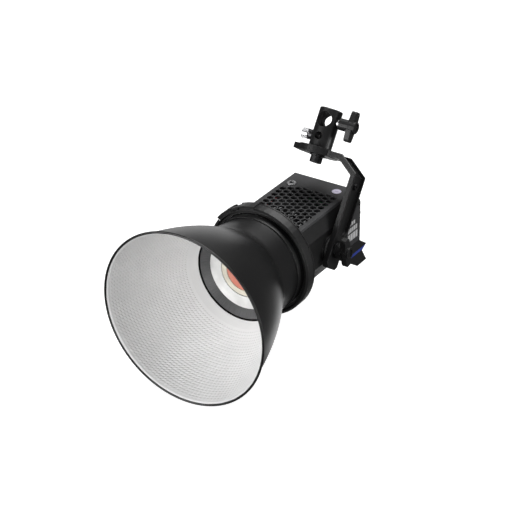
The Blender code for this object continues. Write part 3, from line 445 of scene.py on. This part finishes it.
ring_white = moulded("ring_white", (0.72, 0.72, 0.71), 0.4, 1800.0, 0.00003, 0.5, 1.05, 0.0004)
ceramic = moulded("ceramic", (0.66, 0.62, 0.52), 0.45, 1200.0, 0.00004, 0.45, 1.1, 0.0004)
fibre = moulded("fibre", (0.05, 0.05, 0.05), 0.75, 900.0, 0.00012, 0.3, 1.5, 0.0003)
sleeve = moulded("sleeve", (0.02, 0.02, 0.02), 0.5, 1500.0, 0.00004, 0.4, 1.5, 0.0002)
sleeve_red = moulded("sleeve_red", (0.35, 0.02, 0.02), 0.5, 1500.0, 0.00004, 0.4, 1.3, 0.0002)
steel_x = metal("steel_x", (0.72, 0.72, 0.73), 0.28, "X")
steel_round = metal("steel_round", (0.70, 0.70, 0.71), 0.3, "round")
steel_black = metal("steel_black", (0.06, 0.06, 0.062), 0.38, "Z")
aluminium = metal("aluminium", (0.66, 0.67, 0.68), 0.34, "Z")
copper = metal("copper", (0.72, 0.38, 0.25), 0.3, "Y")

FINISHES = {
    "yoke_arm": casting_black, "stand_socket": casting_black, "bayonet_collar": casting_black,
    "arm_screw": steel_black, "socket_bolt": steel_black, "socket_washer": steel_black,
    "umbrella_collar": steel_black, "tilt_thrust_washer": steel_black,
    "spigot_pad": steel_x, "spigot_screw": steel_x, "umbrella_screw": steel_x, "tilt_bolt": steel_x,
    "spigot_wing": lever_black, "tilt_lever": lever_black, "friction_washer": fibre,
    "umbrella_tip": ring_white, "alignment_dot": ring_white, "retaining_ring": ring_white,
    "side_shell_right": body_black, "side_shell_left": body_black, "bottom_cover": body_black,
    "control_housing": body_black, "top_cover": cover_grey, "threaded_insert": steel_round,
    "inspection_sticker": sticker("label_film", (23.3, 100.6)),
    "side_plate": printed("side_print", (0.04, 0.04, 0.042), (0.62, 0.62, 0.62), 0.45, LABEL, "YZ"),
    "accent_stripe": stripe_blue,
    "rear_panel": printed("rear_print", BLACK, (0.5, 0.5, 0.5), 0.45,
                          [(x - 2.0, -9.4, x + 2.0, -8.8) for x in (-27.0, -15.0, -3.0)], "XZ"),
    "display_window": printed("display_glass", (0.012, 0.016, 0.02), (0.35, 0.55, 0.62), 0.1,
                              READOUT, "XZ", 0.6),
    "display_module": inner_black, "dimmer_knob": knob_rubber, "colour_knob": knob_rubber,
    "mode_button_1": button_grey, "mode_button_2": button_grey, "mode_button_3": button_grey,
    "power_inlet": body_black, "power_rocker": lever_black, "mount_ring": ring_black,
    "bayonet_plate": steel_round, "bayonet_screw_1": steel_round, "bayonet_screw_2": steel_round,
    "bayonet_screw_3": steel_round, "release_slider": lever_black, "lock_pin": steel_x,
    "front_bulkhead": inner_black, "nose_cone": radial_grey("throat_grey", (0.07, 0.07, 0.072)),
    "led_holder": ceramic, "led_emitter": phosphor("phosphor_gel"), "led_substrate": aluminium,
    "heat_column": copper, "heatsink": aluminium, "fan_frame": inner_black, "fan_rotor": inner_black,
    "driver_board": circuit("solder_mask"), "control_board": circuit("solder_mask_rear"),
    "led_lead_positive": sleeve_red, "led_lead_negative": sleeve,
}

for node_name, node in NODES.items():
    if node_name == "reflector_bowl":
        continue
    finish = FINISHES[node_name]
    if not node.material_slots:
        node.data.materials.append(finish)
    for slot in node.material_slots:
        slot.material = finish

make_bowl(spun_paint("bowl_black", (0.006, 0.006, 0.0063), 0.34, 0.5), white_enamel("bowl_white"))


# ---------------------------------------------------------------- floor, light and camera

FLOOR_HALF = 9              # the rest of this section is in metres
FLOOR_GAP = 0.0005
FLOOR_GLOW = 0.9
WORLD_SEEN = 1.0            # the world as the camera sees it
WORLD_LIGHT = 0.10          # and as it lights the object

scene = bpy.context.scene
scene.view_settings.view_transform = "Standard"
scene.view_settings.look = "None"
low, high = cad_box
middle = (Vector(low) + Vector(high)) / 2

floor_mesh = bpy.data.meshes.new("floor")
floor_mesh.from_pydata([(FLOOR_HALF * x, FLOOR_HALF * y, 0) for x, y in ((-1, -1), (1, -1), (1, 1), (-1, 1))],
                       [], [(0, 1, 2, 3)])
floor = bpy.data.objects.new("floor", floor_mesh)
floor.location = (middle.x, middle.y, low[2] - FLOOR_GAP)
scene.collection.objects.link(floor)
pale = Tree("floor_pale")
speck = pale.noise(6.0, 3.0)
pale.shader.inputs["Emission Strength"].default_value = FLOOR_GLOW
pale.shader.inputs["Emission Color"].default_value = (1.0, 1.0, 1.0, 1.0)
pale.finish(pale.mix(speck, (0.50, 0.50, 0.50), (0.54, 0.54, 0.54)), 0.9, None, 0.0, 0.0)
floor_mesh.materials.append(pale.material)
floor.visible_diffuse = False
floor.visible_glossy = False
floor.visible_shadow = False

world = bpy.data.worlds.new("studio")
scene.world = world
world.use_nodes = True
tree = world.node_tree
tree.nodes.clear()
path = tree.nodes.new("ShaderNodeLightPath")
dim = tree.nodes.new("ShaderNodeBackground")
dim.inputs[0].default_value = (1.0, 1.0, 1.0, 1.0)
dim.inputs[1].default_value = WORLD_LIGHT
bright = tree.nodes.new("ShaderNodeBackground")
bright.inputs[0].default_value = (1.0, 1.0, 1.0, 1.0)
bright.inputs[1].default_value = WORLD_SEEN
mixed = tree.nodes.new("ShaderNodeMixShader")
out = tree.nodes.new("ShaderNodeOutputWorld")
tree.links.new(path.outputs["Is Camera Ray"], mixed.inputs[0])
tree.links.new(dim.outputs[0], mixed.inputs[1])
tree.links.new(bright.outputs[0], mixed.inputs[2])
tree.links.new(mixed.outputs[0], out.inputs["Surface"])


def softbox(name, offset, size, watts, aim=(0.0, 0.0, 0.0)):
    """A rectangular soft light, offset in metres from the middle of the object, aimed at a point near it."""
    data = bpy.data.lights.new(name, "AREA")
    data.shape = "RECTANGLE"
    data.size, data.size_y = size
    data.energy = watts
    lamp = bpy.data.objects.new(name, data)
    lamp.location = middle + Vector(offset)
    lamp.rotation_mode = "QUATERNION"
    lamp.rotation_quaternion = (middle + Vector(aim) - lamp.location).to_track_quat("-Z", "Y")
    scene.collection.objects.link(lamp)


softbox("front_left", (-1.1, -2.3, 0.5), (1.6, 1.6), 62.0, (0.0, -0.1, -0.05))
softbox("front_right", (1.3, -2.0, 0.1), (1.0, 1.4), 18.0, (0.0, -0.1, -0.05))
softbox("overhead", (0.1, 0.8, 1.6), (1.5, 1.1), 30.0)
softbox("back_left", (-0.95, 1.5, -0.05), (1.0, 0.9), 2.4)
softbox("back_low", (-0.35, 1.3, -0.75), (0.8, 0.6), 2.2)
softbox("right_strip", (1.5, 0.5, 0.25), (0.35, 1.5), 9.0, (0.0, -0.05, 0.0))

AZIMUTH = math.radians(32.9)
ELEVATION = math.radians(29.67)
ROLL = math.radians(-0.41)
DISTANCE = 1.891
AIM = Vector((0.0026, -0.1327, -0.1186))
SENSOR = 36.0               # millimetres, as the lens
LENS = 127.77
back = Vector((math.sin(AZIMUTH) * math.cos(ELEVATION), -math.cos(AZIMUTH) * math.cos(ELEVATION),
               math.sin(ELEVATION)))
right = Vector((math.cos(AZIMUTH), math.sin(AZIMUTH), 0.0))
up = back.cross(right)
turned_right = right * math.cos(ROLL) + up * math.sin(ROLL)
turned_up = up * math.cos(ROLL) - right * math.sin(ROLL)
camera_data = bpy.data.cameras.new("camera")
camera_data.sensor_width = SENSOR
camera_data.lens = LENS
camera = bpy.data.objects.new("camera", camera_data)
scene.collection.objects.link(camera)
camera.matrix_world = Matrix.Translation(AIM + back * DISTANCE) @ Matrix(
    (turned_right, turned_up, back)).transposed().to_4x4()
scene.camera = camera
